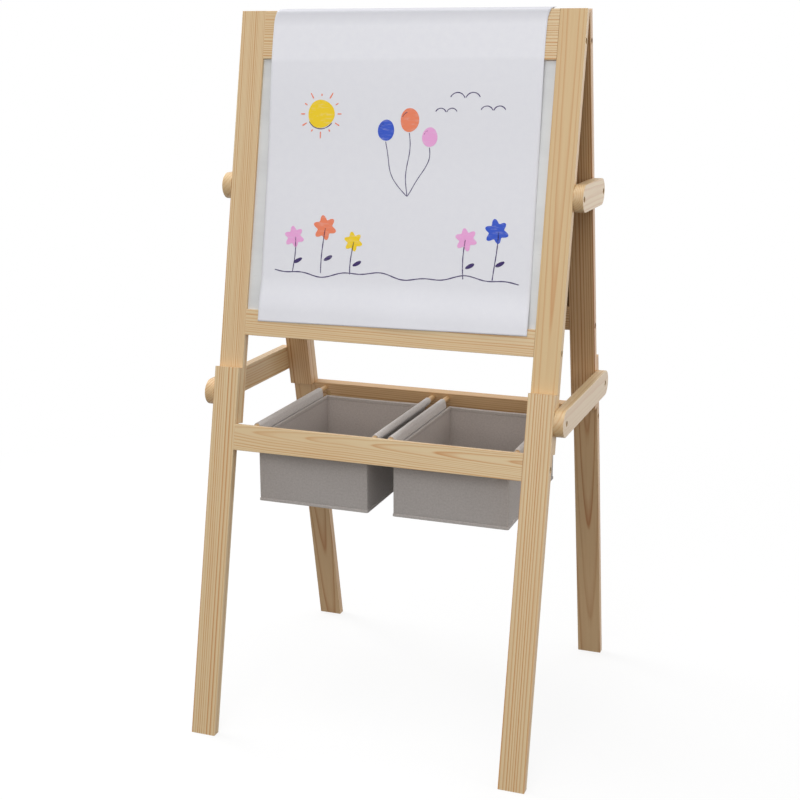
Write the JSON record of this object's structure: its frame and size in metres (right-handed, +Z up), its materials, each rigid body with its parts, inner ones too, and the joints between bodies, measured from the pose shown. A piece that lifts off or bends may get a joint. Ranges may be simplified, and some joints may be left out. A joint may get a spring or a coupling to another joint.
{
  "type": "children's double-sided easel",
  "caption": "Pine A-frame easel with a white board and a chalk board back to back, fabric bins on rods between the legs, and a paper roll feeding a sheet over the top.",
  "frame": {"origin": "on the floor under the middle of the easel", "axes": "+Z up, -Y towards the white board side, +X to the right of someone facing it"},
  "size_m": [0.528, 0.4862, 1.0197],
  "materials": {
    "pine": "clear matt lacquer on planed pine",
    "white_board": "smooth white coating on hardboard",
    "chalk_board": "matt black chalk paint on hardboard",
    "bin_fabric": "warm grey woven polyester",
    "bin_card": "grey covered card",
    "paper": "uncoated white drawing paper",
    "core_card": "wound brown card tube",
    "bolt_steel": "zinc plated steel",
    "insert_brass": "plain brass",
    "pin_beech": "bare beech"
  },
  "bodies": {
    "easel": {"front_left_stile": "pine", "front_right_stile": "pine", "front_left_leg": "pine", "front_right_leg": "pine", "front_top_rail": "pine", "front_bottom_rail": "pine", "front_tray_rail": "pine", "back_left_stile": "pine", "back_right_stile": "pine", "back_left_leg": "pine", "back_right_leg": "pine", "back_top_rail": "pine", "back_bottom_rail": "pine", "back_tray_rail": "pine", "left_upper_strut": "pine", "left_lower_strut": "pine", "left_bin_outer_rod": "pine", "left_bin_inner_rod": "pine", "right_upper_strut": "pine", "right_lower_strut": "pine", "right_bin_outer_rod": "pine", "right_bin_inner_rod": "pine", "paper_roll_rod": "pine", "whiteboard_panel": "white_board", "chalkboard_panel": "chalk_board", "paper_sheet": "paper", "strut_bolts": "bolt_steel", "rail_bolts": "bolt_steel", "barrel_nuts": "bolt_steel", "threaded_inserts": "insert_brass", "rail_pins": "pin_beech", "lap_pins": "pin_beech"},
    "left_bin": {"left_bin": "bin_fabric", "left_bin_base_board": "bin_card"},
    "right_bin": {"right_bin": "bin_fabric", "right_bin_base_board": "bin_card"},
    "paper_roll": {"paper_roll": "paper", "paper_core_tube": "core_card"}
  },
  "joints": [
    {"name": "left_bin_slide", "type": "slide", "parent": "easel", "child": "left_bin", "axis": [0, 1, 0], "range_m": [-0.011, 0.011]},
    {"name": "right_bin_slide", "type": "slide", "parent": "easel", "child": "right_bin", "axis": [0, 1, 0], "range_m": [-0.011, 0.011]},
    {"name": "paper_roll_spin", "type": "hinge", "parent": "easel", "child": "paper_roll", "pos_m": [0, 0, 0.77211], "axis": [1, 0, 0], "continuous": true}
  ]
}
